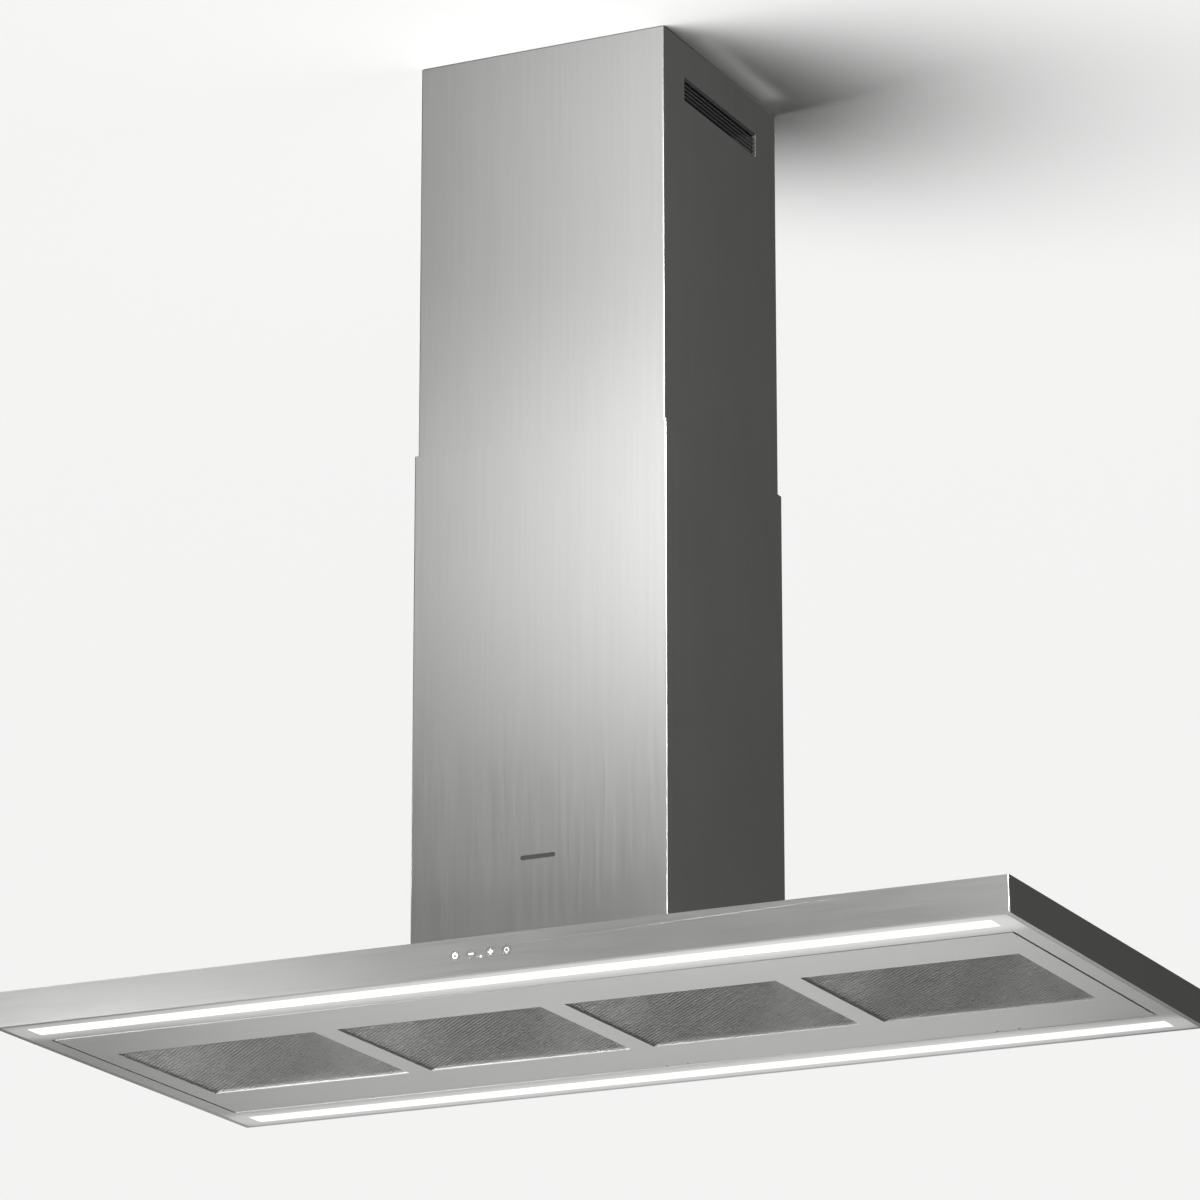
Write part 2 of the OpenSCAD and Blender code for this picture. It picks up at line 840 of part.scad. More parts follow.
module control_board() {
    color("#1f6b3a") block([-control_half_w, board_y, control_z0],
                           [control_half_w, board_y + board_t, control_z1]);
    color("#222222") for (x = button_x) {
        block([x - 3, board_y - switch_h, button_z - 3], [x + 3, board_y, button_z + 3]);
    }
}

module indicator_lens() {
    color("white") rod([indicator_x, front_y, indicator_z],
                       [indicator_x, housing_y, indicator_z], indicator_r);
}

// Cap through the front face, flange behind it, stem to the switch
module push_button(i) {
    stem_end = board_y - switch_h - button_travel - 0.4;
    flange_y = fascia_in_y + 0.4;
    color("silver") {
        rod([button_x[i], front_y, button_z], [button_x[i], flange_y, button_z], button_r);
        rod([button_x[i], flange_y, button_z], [button_x[i], flange_y + 1.2, button_z], button_flange_r);
        rod([button_x[i], flange_y, button_z], [button_x[i], stem_end, button_z], stem_r);
    }
}

module power_button() {
    push_button(0);
}

module slower_button() {
    push_button(1);
}

module faster_button() {
    push_button(2);
}

module light_button() {
    push_button(3);
}

// ---------------------------------------------------------------- filter panel

// Ears and pins on the frame's rear lip
module panel_hinges() {
    ear_z0 = hinge_z - hinge_pin_r - 0.3;
    ear_z1 = hinge_z + hinge_pin_r + 2;
    color("silver") for (x = hinge_x) {
        for (side = [-1, 1]) {
            middle = x + side * (ear_x + ear_t / 2);
            block([middle - ear_t / 2, hinge_y - 3, ear_z0], [middle + ear_t / 2, opening_d / 2, ear_z1]);
        }
        rod([x - ear_x - ear_t, hinge_y, hinge_z], [x + ear_x + ear_t, hinge_y, hinge_z], hinge_pin_r);
    }
}

module panel_magnets() {
    y = -opening_d / 2;
    z = canopy_z + lip_h + 0.5;
    color("dimgray") for (x = [-catch_x, catch_x]) {
        block([x - 15, y - 8, z], [x + 15, y + 12, z + 6]);
        block([x - 15, y - 8, canopy_z + sheet], [x + 15, y - sheet - 0.2, z]);
    }
}

// Seat around one window: a low wall that keeps the filter in place
module filter_seat() {
    z0 = canopy_z + sheet;
    frame_plate(filter_w + 0.8 + 2 * sheet, filter_d + 0.8 + 2 * sheet,
                filter_w + 0.8, filter_d + 0.8, z0 - 0.2, z0 + seat_h);
}

module filter_panel() {
    flange_z = canopy_z + sheet + panel_flange_h;
    color("lightgray") difference() {
        union() {
            slab(panel_w, panel_d, canopy_z, canopy_z + sheet);
            frame_plate(panel_w, panel_d, panel_w - 2 * sheet, panel_d - 2 * sheet, canopy_z, flange_z);
            for (i = [0 : 3]) translate([filter_x(i), window_y, 0]) filter_seat();
            for (x = hinge_x) rod([x - knuckle_l / 2, hinge_y, hinge_z],
                                  [x + knuckle_l / 2, hinge_y, hinge_z], knuckle_r);
        }
        for (i = [0 : 3]) {
            translate([filter_x(i), window_y, 0])
                slab(window_w, window_d, canopy_z - cut, canopy_z + 2 * sheet);
        }
        for (x = hinge_x) {
            rod([x - knuckle_l, hinge_y, hinge_z], [x + knuckle_l, hinge_y, hinge_z], hinge_pin_r + fit);
            for (side = [-1, 1]) {
                middle = x + side * (ear_x + ear_t / 2);
                block([middle - notch_half_w, hinge_y - notch_reach, canopy_z - cut],
                      [middle + notch_half_w, panel_d, flange_z + cut]);
            }
        }
    }
}

function filter_x(i) = (i - 1.5) * window_pitch;

module filter_frame(i) {
    z0 = canopy_z + sheet;
    in_w = filter_w - 2 * filter_rail;
    in_d = filter_d - 2 * filter_rail;
    color("silver") translate([filter_x(i), window_y, 0]) {
        frame_plate(filter_w, filter_d, in_w, in_d, z0, z0 + filter_h);
        frame_plate(in_w, in_d, in_w - 6, in_d - 6, z0 + filter_h - 0.8, z0 + filter_h);
    }
}

// Layers of expanded metal, held in the frame
module filter_mesh(i) {
    z0 = canopy_z + sheet + 0.2;
    pitch = (filter_h - 1.2 - mesh_layer_t) / (mesh_layers - 1);
    w = filter_w - 2 * filter_rail - 0.1;
    d = filter_d - 2 * filter_rail - 0.1;
    color("dimgray") translate([filter_x(i), window_y, 0]) {
        for (layer = [0 : mesh_layers - 1]) {
            slab(w, d, z0 + layer * pitch, z0 + layer * pitch + mesh_layer_t);
        }
    }
}

module filter_frame_1() {
    filter_frame(0);
}

module filter_frame_2() {
    filter_frame(1);
}

module filter_frame_3() {
    filter_frame(2);
}

module filter_frame_4() {
    filter_frame(3);
}

module filter_mesh_1() {
    filter_mesh(0);
}

module filter_mesh_2() {
    filter_mesh(1);
}

module filter_mesh_3() {
    filter_mesh(2);
}

module filter_mesh_4() {
    filter_mesh(3);
}

// ---------------------------------------------------------------- lower flue

module lower_flue() {
    color("gainsboro") flue_tube(lower_flue_w, canopy_top, canopy_top + lower_flue_h);
}

// Plain bar with round ends on the flue's front
module flue_badge() {
    badge_w = 42;
    badge_h = 5;
    badge_z = canopy_z + 158;
    color("gray") translate([0, -lower_flue_w / 2, badge_z]) rotate([90, 0, 0]) linear_extrude(0.6) {
        square([badge_w - badge_h, badge_h], center = true);
        for (x = [-1, 1]) translate([x * (badge_w - badge_h) / 2, 0]) circle(badge_h / 2);
    }
}

ceiling_plate();
upper_frame_uprights();
upper_frame_braces();
frame_clamp_bolts();
upper_flue();
upper_flue_screws();
air_deflector();
vent_grille_left();
vent_grille_right();
flexible_duct();
upper_duct_clamp();
lower_frame_uprights();
lower_frame_braces();
canopy_screws();
flue_brackets();
blower_casing();
scroll_front();
scroll_back();
motor();
motor_bracket();
outlet_collar();
valve_spindle();
lower_duct_clamp();
run_capacitor();
electronics_box();
electronics_lid();
power_board();
cable_gland();
wiring_loom();
canopy_shell();
underside_frame();
light_profiles();
light_boards();
light_diffuser_front();
light_diffuser_back();
light_driver();
control_housing();
control_board();
indicator_lens();
panel_hinges();
panel_magnets();
lower_flue();
flue_badge();
impeller();
motor_shaft();
valve_flap_left();
valve_flap_right();
filter_panel();
filter_frame_1();
filter_frame_2();
filter_frame_3();
filter_frame_4();
filter_mesh_1();
filter_mesh_2();
filter_mesh_3();
filter_mesh_4();
power_button();
slower_button();
faster_button();
light_button();
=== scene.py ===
# The looks of an island range hood: brushed steel, opal light strips, expanded metal filters and
# the works inside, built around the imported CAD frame. Metres, +Z up, the origin at the ceiling.
import json
import math
import random

import bmesh
import bpy
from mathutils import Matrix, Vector

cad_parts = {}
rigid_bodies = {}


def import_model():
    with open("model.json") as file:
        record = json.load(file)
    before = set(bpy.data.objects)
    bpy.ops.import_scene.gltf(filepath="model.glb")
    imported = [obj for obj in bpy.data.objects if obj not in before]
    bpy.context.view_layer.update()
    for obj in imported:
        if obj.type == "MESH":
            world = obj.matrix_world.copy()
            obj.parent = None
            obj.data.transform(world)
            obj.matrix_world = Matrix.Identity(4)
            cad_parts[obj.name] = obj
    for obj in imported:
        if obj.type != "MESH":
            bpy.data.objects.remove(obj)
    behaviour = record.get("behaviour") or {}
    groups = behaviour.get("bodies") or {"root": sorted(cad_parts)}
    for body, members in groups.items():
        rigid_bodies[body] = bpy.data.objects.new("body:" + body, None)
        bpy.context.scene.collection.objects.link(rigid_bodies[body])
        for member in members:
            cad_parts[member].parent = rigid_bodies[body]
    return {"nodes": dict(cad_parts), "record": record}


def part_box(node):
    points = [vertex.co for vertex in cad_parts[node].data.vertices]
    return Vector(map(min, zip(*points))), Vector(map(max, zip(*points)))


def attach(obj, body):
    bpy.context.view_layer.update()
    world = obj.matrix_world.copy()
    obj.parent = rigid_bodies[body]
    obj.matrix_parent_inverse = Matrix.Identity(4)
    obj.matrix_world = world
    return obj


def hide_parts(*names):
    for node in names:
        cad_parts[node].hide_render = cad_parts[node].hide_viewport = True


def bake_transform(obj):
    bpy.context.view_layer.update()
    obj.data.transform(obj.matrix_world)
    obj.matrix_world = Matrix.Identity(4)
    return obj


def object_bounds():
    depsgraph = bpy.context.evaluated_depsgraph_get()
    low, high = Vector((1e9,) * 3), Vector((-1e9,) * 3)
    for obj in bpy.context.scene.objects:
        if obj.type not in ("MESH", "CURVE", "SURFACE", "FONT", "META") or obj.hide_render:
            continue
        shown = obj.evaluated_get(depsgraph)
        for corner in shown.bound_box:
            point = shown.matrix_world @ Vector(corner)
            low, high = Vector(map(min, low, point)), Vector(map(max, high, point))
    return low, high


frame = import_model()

CAD_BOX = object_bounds()
MM = 0.001

# The camera stands low in front, right of the middle, and looks up at the canopy's underside
VIEW_AZIMUTH = math.radians(25.7)
VIEW_PITCH = math.radians(17.1)
VIEW_DISTANCE = 6.8
VIEW_LENS = 182.1
AIM_HEIGHT = 0.491      # above the canopy's underside

BACKDROP = 0.896        # tone of the backdrop that the camera sees
WORLD_STRENGTH = 0.072  # even light from all around
PAINTED_STRIP_GLOW = 0.22      # strength of the glow painted on the steel next to the strips, in place of their light
CEILING_PAINT = 0.3     # how much light the ceiling's own paint returns
CEILING_LIGHT_RISE = math.radians(57)   # how steeply it comes up from the front left
CEILING_LIGHT_WIDTH = math.radians(50)
CEILING_LIGHT_HEADING = (0.80, 0.60)    # its level direction, a unit vector along X and Y

canopy_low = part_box("canopy_shell")[0]


# ---------------------------------------------------------------- camera, lights and stage

def make_camera():
    data = bpy.data.cameras.new("camera")
    data.lens = VIEW_LENS
    data.sensor_width = 36
    data.clip_end = 100
    camera = bpy.data.objects.new("camera", data)
    bpy.context.scene.collection.objects.link(camera)
    forward = Vector((
        -math.sin(VIEW_AZIMUTH) * math.cos(VIEW_PITCH),
        math.cos(VIEW_AZIMUTH) * math.cos(VIEW_PITCH),
        math.sin(VIEW_PITCH),
    ))
    aim = Vector((0, 0, canopy_low.z + AIM_HEIGHT))
    camera.location = aim - forward * VIEW_DISTANCE
    camera.rotation_mode = "QUATERNION"
    camera.rotation_quaternion = forward.to_track_quat("-Z", "Y")
    bpy.context.scene.camera = camera


def make_world(strength):
    """A pale backdrop for the camera, and an even soft light of its own strength for everything else."""
    world = bpy.data.worlds.new("studio")
    bpy.context.scene.world = world
    world.use_nodes = True
    tree = world.node_tree
    room = tree.nodes["Background"]
    room.inputs["Color"].default_value = (1.0, 0.995, 0.985, 1)
    room.inputs["Strength"].default_value = strength
    backdrop = tree.nodes.new("ShaderNodeBackground")
    backdrop.inputs["Color"].default_value = (BACKDROP, BACKDROP, BACKDROP * 0.995, 1)
    path = tree.nodes.new("ShaderNodeLightPath")
    mix = tree.nodes.new("ShaderNodeMixShader")
    tree.links.new(path.outputs["Is Camera Ray"], mix.inputs["Fac"])
    tree.links.new(room.outputs["Background"], mix.inputs[1])
    tree.links.new(backdrop.outputs["Background"], mix.inputs[2])
    tree.links.new(mix.outputs["Shader"], tree.nodes["World Output"].inputs["Surface"])


def make_softbox(name, place, aim, width, height, power):
    """A rectangular soft light that stands at place and faces aim."""
    data = bpy.data.lights.new(name, "AREA")
    data.shape = "RECTANGLE"
    data.size = width
    data.size_y = height
    data.energy = power
    light = bpy.data.objects.new(name, data)
    bpy.context.scene.collection.objects.link(light)
    light.location = place
    light.rotation_mode = "QUATERNION"
    light.rotation_quaternion = (Vector(aim) - Vector(place)).to_track_quat("-Z", "Y")
    light.visible_camera = False


def make_lights():
    """Keys low on the left and level on the right, soft light from below and behind, and small weak panels
    in front that give the flue its gradients."""
    flue_middle = (0, 0, -0.7)
    canopy_middle = (0, 0, canopy_low.z)
    front_y = -1.3
    panel_width, panel_height = 0.42, 0.5

    def small_panel(name, x, z, power):
        make_softbox(name, (x, front_y, z), flue_middle, panel_width, panel_height, power)

    small_panel("key_far_left", -1.4, -1.9, 40)
    small_panel("key_left", -0.95, -1.9, 16)
    small_panel("left_low", -0.95, -1.3, 4.7)
    small_panel("front_left", -0.5, -0.2, 0.65)
    small_panel("front_left_high", -0.5, 0.4, 0.5)
    small_panel("front_middle", -0.1, -0.2, 1.05)
    small_panel("front_middle_high", -0.1, 0.4, 0.8)
    small_panel("key_right", 0.8, -0.2, 50)
    small_panel("right_low", 0.8, -1.9, 8)
    make_softbox("under", (0.0, 0.2, -3.2), canopy_middle, 2.0, 1.6, 53)
    make_softbox("under_right", (1.6, 0.4, -2.4), canopy_middle, 1.2, 1.2, 8)
    make_softbox("back_low", (-1.6, 3.4, -2.3), canopy_middle, 1.6, 1.2, 3.5)
    make_softbox("back_left", (-1.4, 2.2, 0.1), flue_middle, 1.2, 1.4, 30)


def make_ceiling():
    """The ceiling that the hood hangs from, seen from below only and as pale as the backdrop."""
    side = 30
    z = CAD_BOX[1].z + 1 * MM
    corners = [(-side, side, z), (side, side, z), (side, -side, z), (-side, -side, z)]
    shader = Shader("ceiling_paint", {})
    paint = shader.add("ShaderNodeBsdfDiffuse")
    paint.inputs["Color"].default_value = (CEILING_PAINT, CEILING_PAINT, CEILING_PAINT * 0.995, 1)
    clear = shader.add("ShaderNodeBsdfTransparent")
    from_above = shader.add("ShaderNodeNewGeometry").outputs["Backfacing"]
    sides = {0: from_above, 1: paint.outputs["BSDF"], 2: clear.outputs["BSDF"]}
    mix = shader.add("ShaderNodeMixShader", sides)
    shader.link(mix.outputs["Shader"], shader.output.inputs["Surface"])
    mesh = bpy.data.meshes.new("ceiling")
    mesh.from_pydata(corners, [], [(0, 1, 2, 3)])
    mesh.materials.append(shader.material)
    ceiling = bpy.data.objects.new("ceiling", mesh)
    bpy.context.scene.collection.objects.link(ceiling)
    ceiling.visible_diffuse = False
    ceiling.visible_glossy = False
    ceiling.visible_shadow = False
    return ceiling


def group_of(name, node, state):
    """A group for light linking that includes or excludes one object."""
    group = bpy.data.collections.new(name)
    group.objects.link(node)
    group.collection_objects[0].light_linking.link_state = state
    return group


def light_ceiling(ceiling):
    """One broad light from low on the left gives the ceiling its even tone and the upper flue's soft shadow.
    The other lights leave the ceiling alone, and this one leaves the hood alone."""
    all_but_ceiling = group_of("all_but_ceiling", ceiling, "EXCLUDE")
    for light in bpy.context.scene.objects:
        if light.type == "LIGHT":
            light.light_linking.receiver_collection = all_but_ceiling
    data = bpy.data.lights.new("ceiling_light", "SUN")
    data.angle = CEILING_LIGHT_WIDTH
    data.energy = math.pi * (BACKDROP / CEILING_PAINT - WORLD_STRENGTH) / math.sin(CEILING_LIGHT_RISE)
    sun = bpy.data.objects.new("ceiling_light", data)
    bpy.context.scene.collection.objects.link(sun)
    level = math.cos(CEILING_LIGHT_RISE)
    along_x, along_y = CEILING_LIGHT_HEADING
    shines = Vector((along_x * level, along_y * level, math.sin(CEILING_LIGHT_RISE)))
    sun.rotation_mode = "QUATERNION"
    sun.rotation_quaternion = shines.to_track_quat("-Z", "Y")
    sun.light_linking.receiver_collection = group_of("only_ceiling", ceiling, "INCLUDE")
    sun.light_linking.blocker_collection = group_of("only_flue", frame["nodes"]["upper_flue"], "INCLUDE")


# ---------------------------------------------------------------- shader helper

class Shader:
    """One material's node tree. add() makes a node, and sets or links its inputs."""

    def __init__(self, name, values):
        self.material = bpy.data.materials.new(name)
        self.material.use_nodes = True
        self.tree = self.material.node_tree
        self.surface = self.tree.nodes["Principled BSDF"]
        self.output = self.tree.nodes["Material Output"]
        self.place = self.add("ShaderNodeTexCoord").outputs["Object"]
        self.fill(self.surface, values)

    def link(self, source, socket):
        self.tree.links.new(source, socket)

    def fill(self, node, inputs):
        for key, value in inputs.items():
            socket = node.inputs[key]
            if isinstance(value, bpy.types.NodeSocket):
                self.link(value, socket)
            else:
                socket.default_value = value

    def add(self, kind, inputs=None, **settings):
        node = self.tree.nodes.new(kind)
        for key, value in settings.items():
            setattr(node, key, value)
        self.fill(node, inputs or {})
        return node

    def stretched(self, scale, place=None):
        """Object coordinates scaled along X, Y and Z."""
        inputs = {"Vector": place or self.place, "Scale": scale}
        return self.add("ShaderNodeMapping", inputs).outputs["Vector"]

    def noise(self, place, scale=1.0, detail=2.0, rough=0.5):
        inputs = {"Vector": place, "Scale": scale, "Detail": detail, "Roughness": rough}
        return self.add("ShaderNodeTexNoise", inputs).outputs["Fac"]

    def spread(self, value, low, high, from_low=0.3, from_high=0.7):
        """Maps value from its usual range to low..high."""
        inputs = {"Value": value, "From Min": from_low, "From Max": from_high, "To Min": low, "To Max": high}
        return self.add("ShaderNodeMapRange", inputs).outputs["Result"]

    def math(self, operation, first, second=0.0):
        return self.add("ShaderNodeMath", {0: first, 1: second}, operation=operation).outputs["Value"]

    def vector(self, operation, first, second=(0, 0, 0)):
        node = self.add("ShaderNodeVectorMath", {0: first, 1: second}, operation=operation)
        return node.outputs["Vector"]

    def blend(self, factor, first, second):
        """Colour between first and second."""
        node = self.add("ShaderNodeMix", {0: factor, 6: first, 7: second}, data_type="RGBA")
        return node.outputs[2]

    def colour_between(self, value, dark, light, from_low=0.3, from_high=0.7):
        factor = self.spread(value, 0.0, 1.0, from_low, from_high)
        return self.blend(factor, (*dark, 1), (*light, 1))

    def bump(self, height, distance, strength=1.0):
        inputs = {"Height": height, "Distance": distance, "Strength": strength}
        node = self.add("ShaderNodeBump", inputs)
        self.link(node.outputs["Normal"], self.surface.inputs["Normal"])

    def set(self, socket, source):
        self.link(source, self.surface.inputs[socket])


def strip_distance(shader, strips):
    """How far a point is from the nearest light strip's middle line, beyond the ends as well as sideways."""
    apart = shader.add("ShaderNodeSeparateXYZ", {"Vector": shader.place})
    sideways = shader.math("SUBTRACT", shader.math("ABSOLUTE", apart.outputs["Y"]), strips["middle"])
    beyond = shader.math("SUBTRACT", shader.math("ABSOLUTE", apart.outputs["X"]), strips["half_length"])
    beyond = shader.math("MAXIMUM", beyond, 0.0)
    across_squared = shader.math("MULTIPLY", sideways, sideways)
    beyond_squared = shader.math("MULTIPLY", beyond, beyond)
    return shader.math("SQRT", shader.math("ADD", across_squared, beyond_squared))


def tint(colour, factor):
    return tuple(min(1.0, c * factor) for c in colour)


# ---------------------------------------------------------------- materials

def brushed_steel(name, colour, roughness, grain, side_grain=None, contrast=0.035, strips=None):
    """Steel sheet brushed along grain. Faces that look along X are brushed along side_grain instead. Near the
    light strips its downward faces carry a painted glow: emission that stands in for the strips' light."""
    shader = Shader(name, {"Metallic": 1.0, "Anisotropic": 0.3})
    normal = shader.add("ShaderNodeTexCoord").outputs["Normal"]
    apart = shader.add("ShaderNodeSeparateXYZ", {"Vector": normal})
    on_side = shader.math("GREATER_THAN", shader.math("ABSOLUTE", apart.outputs["X"]), 0.8)
    side_grain = side_grain or grain

    def along(axis, across, length):
        return [1 / length if i == axis else 1 / across for i in range(3)]

    def streaks(across, length, detail):
        main = shader.vector("MULTIPLY", shader.place, along(grain, across, length))
        side = shader.vector("MULTIPLY", shader.place, along(side_grain, across, length))
        place = shader.add("ShaderNodeMix", {0: on_side, 4: main, 5: side}, data_type="VECTOR")
        return shader.noise(place.outputs[1], detail=detail)

    def axis(i):
        return tuple(1.0 if i == k else 0.0 for k in range(3))

    fine = streaks(0.6 * MM, 90 * MM, 3.0)
    broad = streaks(6 * MM, 400 * MM, 2.0)
    cloud = shader.noise(shader.place, scale=7.0, detail=3.0)
    streak = shader.math("ADD", shader.math("MULTIPLY", fine, 0.6), shader.math("MULTIPLY", broad, 0.4))
    shade = shader.colour_between(streak, tint(colour, 1 - contrast), tint(colour, 1 + contrast))
    shader.set("Base Color", shade)
    worn = shader.spread(cloud, -0.006, 0.006)
    rough = shader.math("ADD", shader.spread(fine, roughness - 0.02, roughness + 0.02), worn)
    shader.set("Roughness", rough)
    shader.bump(fine, 0.02 * MM, 0.08)
    grains = {0: on_side, 4: axis(grain), 5: axis(side_grain)}
    direction = shader.add("ShaderNodeMix", grains, data_type="VECTOR")
    across = shader.vector("CROSS_PRODUCT", direction.outputs[1], normal)
    turned = shader.add("ShaderNodeVectorTransform", {"Vector": across}, vector_type="VECTOR",
                        convert_from="OBJECT", convert_to="WORLD")
    shader.set("Tangent", turned.outputs["Vector"])
    # Painted glow: emission on the downward faces near the light strips stands in for the light they throw on
    # the steel
    if strips:
        near = shader.add("ShaderNodeMapRange", {
            "Value": strip_distance(shader, strips), "From Min": 0.9 * strips["half_width"],
            "From Max": strips["half_width"] + 32 * MM, "To Min": 1.0, "To Max": 0.0,
        }, interpolation_type="SMOOTHSTEP")
        facing_down = shader.math("LESS_THAN", apart.outputs["Z"], -0.5)
        painted_glow_share = shader.math("MULTIPLY", near.outputs["Result"], facing_down)
        shader.set("Emission Strength", shader.math("MULTIPLY", painted_glow_share, PAINTED_STRIP_GLOW))
        shader.surface.inputs["Emission Color"].default_value = (1.0, 0.995, 0.98, 1)
    return shader.material


def zinc_plate(name, colour, roughness):
    """Thin bright plating with a faint yellow and blue bloom."""
    shader = Shader(name, {"Metallic": 1.0})
    bloom = shader.noise(shader.place, scale=22.0, detail=4.0)
    grime = shader.noise(shader.place, scale=900.0, detail=3.0)
    warm = (colour[0] * 1.06, colour[1] * 1.02, colour[2] * 0.94)
    cool = (colour[0] * 0.93, colour[1] * 0.97, colour[2] * 1.03)
    shader.set("Base Color", shader.colour_between(bloom, cool, warm))
    shader.set("Roughness", shader.spread(grime, roughness - 0.06, roughness + 0.08))
    shader.bump(grime, 0.03 * MM, 0.3)
    return shader.material


def galvanised_sheet(name, colour):
    """Zinc spangle: crystals of different greys with fine borders."""
    shader = Shader(name, {"Metallic": 1.0})
    wobble = shader.noise(shader.place, scale=60.0)
    place = shader.vector("ADD", shader.place, shader.vector("MULTIPLY", wobble, (0.008, 0.008, 0.008)))
    cells = shader.add("ShaderNodeTexVoronoi", {"Vector": place, "Scale": 90.0})
    grey = shader.add("ShaderNodeSeparateXYZ", {"Vector": cells.outputs["Color"]}).outputs["X"]
    shader.set("Base Color", shader.colour_between(grey, tint(colour, 0.86), tint(colour, 1.1), 0.0, 1.0))
    shader.set("Roughness", shader.spread(grey, 0.34, 0.5, 0.0, 1.0))
    shader.bump(cells.outputs["Distance"], 0.05 * MM, 0.25)
    return shader.material


def moulded_plastic(name, colour, roughness):
    """Plastic with the fine eroded texture of its mould."""
    shader = Shader(name, {"IOR": 1.5})
    pebble = shader.noise(shader.place, scale=1800.0, detail=2.0)
    flow = shader.noise(shader.place, scale=12.0, detail=3.0)
    shader.set("Base Color", shader.colour_between(flow, tint(colour, 0.92), tint(colour, 1.08)))
    shader.set("Roughness", shader.spread(pebble, roughness - 0.05, roughness + 0.07))
    shader.bump(pebble, 0.04 * MM, 0.5)
    return shader.material


def gloss_plastic(name, colour):
    shader = Shader(name, {"IOR": 1.5, "Coat Weight": 0.3, "Coat Roughness": 0.08})
    wave = shader.noise(shader.place, scale=40.0, detail=2.0)
    dust = shader.noise(shader.place, scale=1500.0, detail=3.0)
    shader.set("Base Color", shader.colour_between(wave, tint(colour, 0.96), tint(colour, 1.04)))
    shader.set("Roughness", shader.spread(dust, 0.2, 0.34))
    shader.bump(wave, 0.05 * MM, 0.3)
    return shader.material


def crinkled_foil(name, colour):
    """Aluminium foil creased by hand."""
    shader = Shader(name, {"Metallic": 1.0})
    cells = {"Vector": shader.place, "Scale": 130.0}
    crease = shader.add("ShaderNodeTexVoronoi", cells, feature="DISTANCE_TO_EDGE")
    smooth = shader.noise(shader.place, scale=60.0, detail=3.0)
    height = shader.math("ADD", crease.outputs["Distance"], shader.math("MULTIPLY", smooth, 0.6))
    shader.set("Base Color", shader.colour_between(smooth, tint(colour, 0.92), tint(colour, 1.05)))
    shader.set("Roughness", shader.spread(smooth, 0.24, 0.4))
    shader.bump(height, 0.5 * MM, 0.6)
    return shader.material


def expanded_metal(name, colour):
    """Aluminium strands, dulled by grease in places."""
    shader = Shader(name, {"Metallic": 0.85})
    grease = shader.noise(shader.place, scale=45.0, detail=4.0)
    scratch = shader.noise(shader.place, scale=2200.0, detail=2.0)
    shader.set("Base Color", shader.colour_between(grease, tint(colour, 0.54), tint(colour, 0.66)))
    shader.set("Roughness", shader.spread(scratch, 0.5, 0.66))
    shader.bump(scratch, 0.02 * MM, 0.4)
    return shader.material


def cast_metal(name, colour):
    """A painted casting with an orange-peel skin."""
    shader = Shader(name, {"Metallic": 0.35, "IOR": 1.5})
    peel = shader.noise(shader.place, scale=420.0, detail=3.0)
    patch = shader.noise(shader.place, scale=25.0, detail=3.0)
    shader.set("Base Color", shader.colour_between(patch, tint(colour, 0.88), tint(colour, 1.1)))
    shader.set("Roughness", shader.spread(peel, 0.42, 0.6))
    shader.bump(peel, 0.12 * MM, 0.5)
    return shader.material


def satin_paint(name, colour):
    shader = Shader(name, {"IOR": 1.5})
    peel = shader.noise(shader.place, scale=900.0, detail=2.0)
    shader.set("Base Color", shader.colour_between(peel, tint(colour, 0.94), tint(colour, 1.06)))
    shader.set("Roughness", shader.spread(peel, 0.36, 0.5))
    shader.bump(peel, 0.02 * MM, 0.4)
    return shader.material


def circuit_board(name, colour):
    """Solder mask over straight copper tracks, which show lighter and a little raised."""
    shader = Shader(name, {"IOR": 1.5, "Coat Weight": 0.4, "Coat Roughness": 0.1})
    bricks = shader.add("ShaderNodeTexBrick", {
        "Vector": shader.stretched((220.0, 220.0, 220.0)),
        "Color1": (0, 0, 0, 1), "Color2": (0.25, 0.25, 0.25, 1), "Mortar": (1, 1, 1, 1), "Mortar Size": 0.06,
    })
    tracks = bricks.outputs["Color"]
    shader.set("Base Color", shader.blend(tracks, (*colour, 1), (*tint(colour, 1.7), 1)))
    shader.set("Roughness", shader.spread(shader.noise(shader.place, scale=900.0), 0.3, 0.42))
    shader.bump(tracks, 0.05 * MM, 0.4)
    return shader.material


def cable_sheath(name, colour):
    shader = Shader(name, {"IOR": 1.5})
    rub = shader.noise(shader.stretched((300.0, 300.0, 60.0)), detail=3.0)
    shader.set("Base Color", shader.colour_between(rub, tint(colour, 0.88), tint(colour, 1.04)))
    shader.set("Roughness", shader.spread(rub, 0.45, 0.62))
    shader.bump(rub, 0.05 * MM, 0.4)
    return shader.material


def opal_light(name, colour, strips):
    """Milky plastic lit from behind: brightest over the row of chips, softer towards the edges."""
    shader = Shader(name, {"Roughness": 0.5, "IOR": 1.49})
    shader.surface.inputs["Base Color"].default_value = (*tint(colour, 0.3), 1)
    glow = shader.add("ShaderNodeMapRange", {
        "Value": strip_distance(shader, strips), "From Min": 0.0,
        "From Max": strips["half_width"], "To Min": 1.0, "To Max": 0.55,
    })
    grain = shader.spread(shader.noise(shader.place, scale=600.0), 0.97, 1.03)
    shader.set("Emission Strength", shader.math("MULTIPLY", glow.outputs["Result"], grain))
    shader.surface.inputs["Emission Color"].default_value = (1.0, 0.995, 0.98, 1)
    shader.bump(shader.noise(shader.place, scale=1400.0), 0.02 * MM, 0.3)
    return shader.material


def lit_sign(name, strength):
    """A sign that glows through the steel."""
    shader = Shader(name, {"Roughness": 0.4})
    shader.surface.inputs["Base Color"].default_value = (0.85, 0.87, 0.88, 1)
    shader.surface.inputs["Emission Color"].default_value = (1.0, 1.0, 1.0, 1)
    grain = shader.noise(shader.place, scale=2500.0)
    shader.set("Emission Strength", shader.spread(grain, strength * 0.92, strength * 1.08))
    shader.bump(grain, 0.01 * MM, 0.2)
    return shader.material


